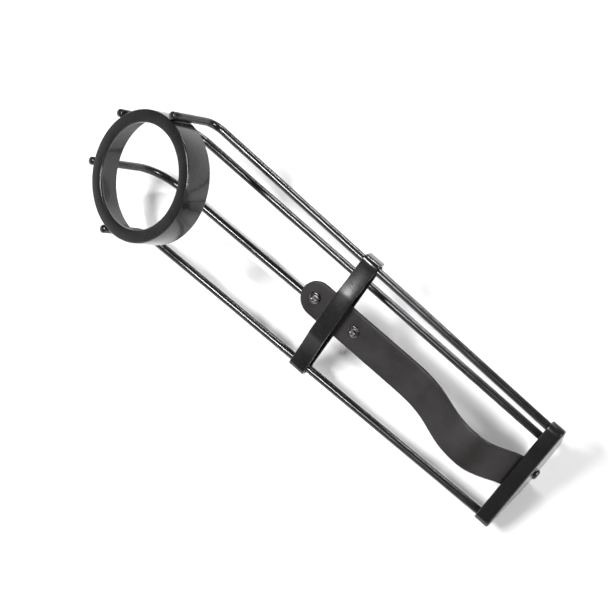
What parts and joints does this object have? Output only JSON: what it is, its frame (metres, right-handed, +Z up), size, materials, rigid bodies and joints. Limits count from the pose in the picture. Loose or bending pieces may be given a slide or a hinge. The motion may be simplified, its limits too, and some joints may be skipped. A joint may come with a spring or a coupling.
{
  "type": "wire rack frame",
  "caption": "Black wire rack frame: a flanged ring on bent rods that run to an end tray, with a leather strap threaded through a keeper.",
  "frame": {"origin": "on the floor, under the middle of the rack as it lies on its side", "axes": "+Z up, -X towards the ring end of the leg, the mouth of the ring turned to -Y and up"},
  "size_m": [0.4088, 0.1184, 0.1246],
  "materials": {
    "black_paint": "gloss",
    "black_leather": "satin",
    "dark_steel": "satin",
    "eyelet_metal": "satin"
  },
  "bodies": {
    "rack_frame": {"ring_band": "black_paint", "ring_flange": "black_paint", "front_rod_left": "black_paint", "front_rod_right": "black_paint", "back_rod_left": "black_paint", "back_rod_right": "black_paint", "end_tray": "black_paint", "keeper_bridge": "black_paint", "keeper_plate": "black_paint", "strap_screw": "dark_steel", "strap_washer": "dark_steel", "strap_nut": "dark_steel", "strap_root": "black_leather", "strap_loop": "black_leather"},
    "strap_end": {"strap_tongue": "black_leather", "eyelet_1": "eyelet_metal", "eyelet_2": "eyelet_metal", "eyelet_3": "eyelet_metal", "eyelet_ring_1": "eyelet_metal", "eyelet_ring_2": "eyelet_metal", "eyelet_ring_3": "eyelet_metal"}
  },
  "joints": [
    {"name": "strap_pull", "type": "slide", "parent": "rack_frame", "child": "strap_end", "axis": [-0.9999, 0, 0.017], "range_m": [0, 0.016]}
  ]
}
